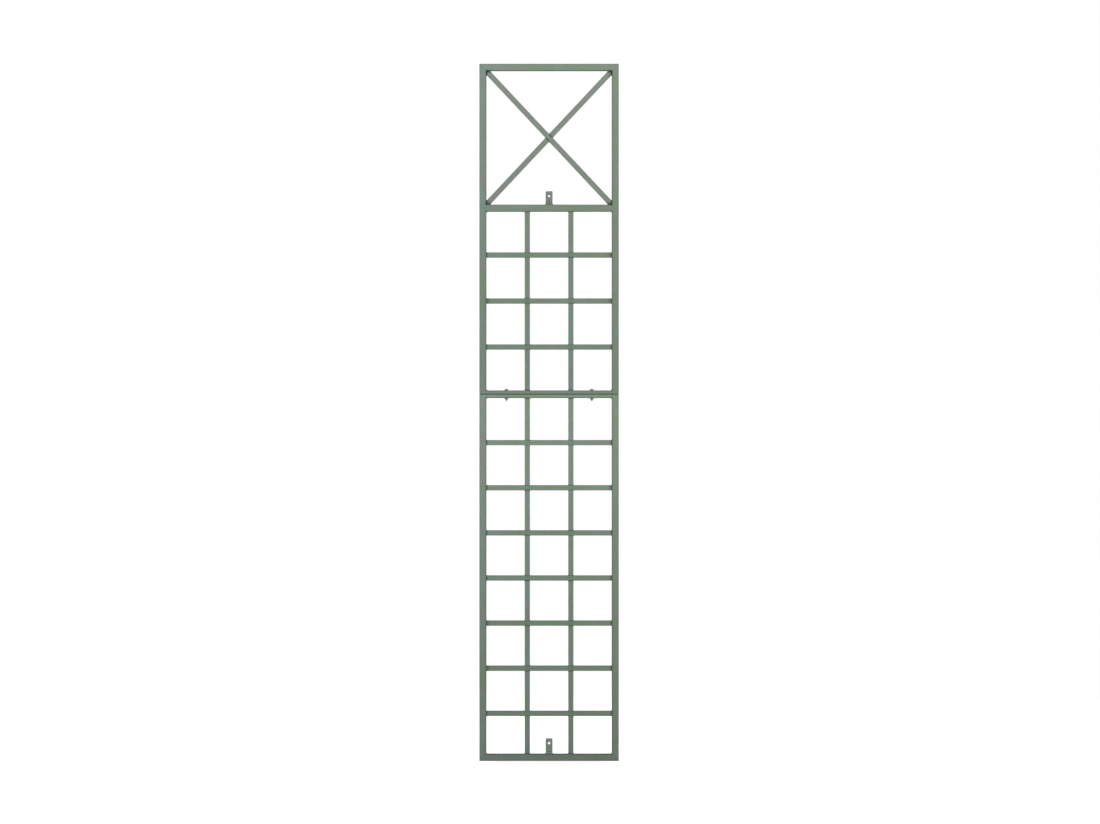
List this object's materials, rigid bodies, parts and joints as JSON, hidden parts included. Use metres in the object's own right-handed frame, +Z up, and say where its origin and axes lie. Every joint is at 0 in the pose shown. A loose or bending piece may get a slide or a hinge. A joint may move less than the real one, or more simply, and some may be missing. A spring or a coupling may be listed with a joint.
{
  "type": "espalier frame",
  "caption": "Tall narrow welded steel espalier frame: bolted upper and lower panels with an open square grid, a cross-braced top bay and drilled brackets that hold it off a wall.",
  "frame": {"origin": "centre of the bottom rail's underside, in the mid-plane of the tubes", "axes": "+Z up along the stiles, +Y from the front towards the wall, +X to the right seen from the front"},
  "size_m": [0.4, 0.045, 2],
  "materials": {
    "green_coat": "matte",
    "weld_coat": "matte",
    "fastener_coat": "satin"
  },
  "bodies": {
    "root": {"upper_left_stile": "green_coat", "upper_right_stile": "green_coat", "top_rail": "green_coat", "mid_rail": "green_coat", "upper_joint_rail": "green_coat", "brace_full": "green_coat", "brace_half_upper": "green_coat", "brace_half_lower": "green_coat", "upper_wall_bracket": "green_coat", "upper_crossbar_1": "green_coat", "upper_crossbar_2": "green_coat", "upper_crossbar_3": "green_coat", "upper_left_upright_1": "green_coat", "upper_left_upright_2": "green_coat", "upper_left_upright_3": "green_coat", "upper_left_upright_4": "green_coat", "upper_right_upright_1": "green_coat", "upper_right_upright_2": "green_coat", "upper_right_upright_3": "green_coat", "upper_right_upright_4": "green_coat", "lower_left_stile": "green_coat", "lower_right_stile": "green_coat", "bottom_rail": "green_coat", "lower_joint_rail": "green_coat", "lower_wall_bracket": "green_coat", "lower_crossbar_1": "green_coat", "lower_crossbar_2": "green_coat", "lower_crossbar_3": "green_coat", "lower_crossbar_4": "green_coat", "lower_crossbar_5": "green_coat", "lower_crossbar_6": "green_coat", "lower_crossbar_7": "green_coat", "lower_left_upright_1": "green_coat", "lower_left_upright_2": "green_coat", "lower_left_upright_3": "green_coat", "lower_left_upright_4": "green_coat", "lower_left_upright_5": "green_coat", "lower_left_upright_6": "green_coat", "lower_left_upright_7": "green_coat", "lower_left_upright_8": "green_coat", "lower_right_upright_1": "green_coat", "lower_right_upright_2": "green_coat", "lower_right_upright_3": "green_coat", "lower_right_upright_4": "green_coat", "lower_right_upright_5": "green_coat", "lower_right_upright_6": "green_coat", "lower_right_upright_7": "green_coat", "lower_right_upright_8": "green_coat", "upper_stile_caps": "green_coat", "lower_stile_caps": "green_coat", "joint_bolts": "fastener_coat", "joint_nuts": "fastener_coat", "upper_panel_welds": "weld_coat", "lower_panel_welds": "weld_coat"}
  },
  "joints": []
}
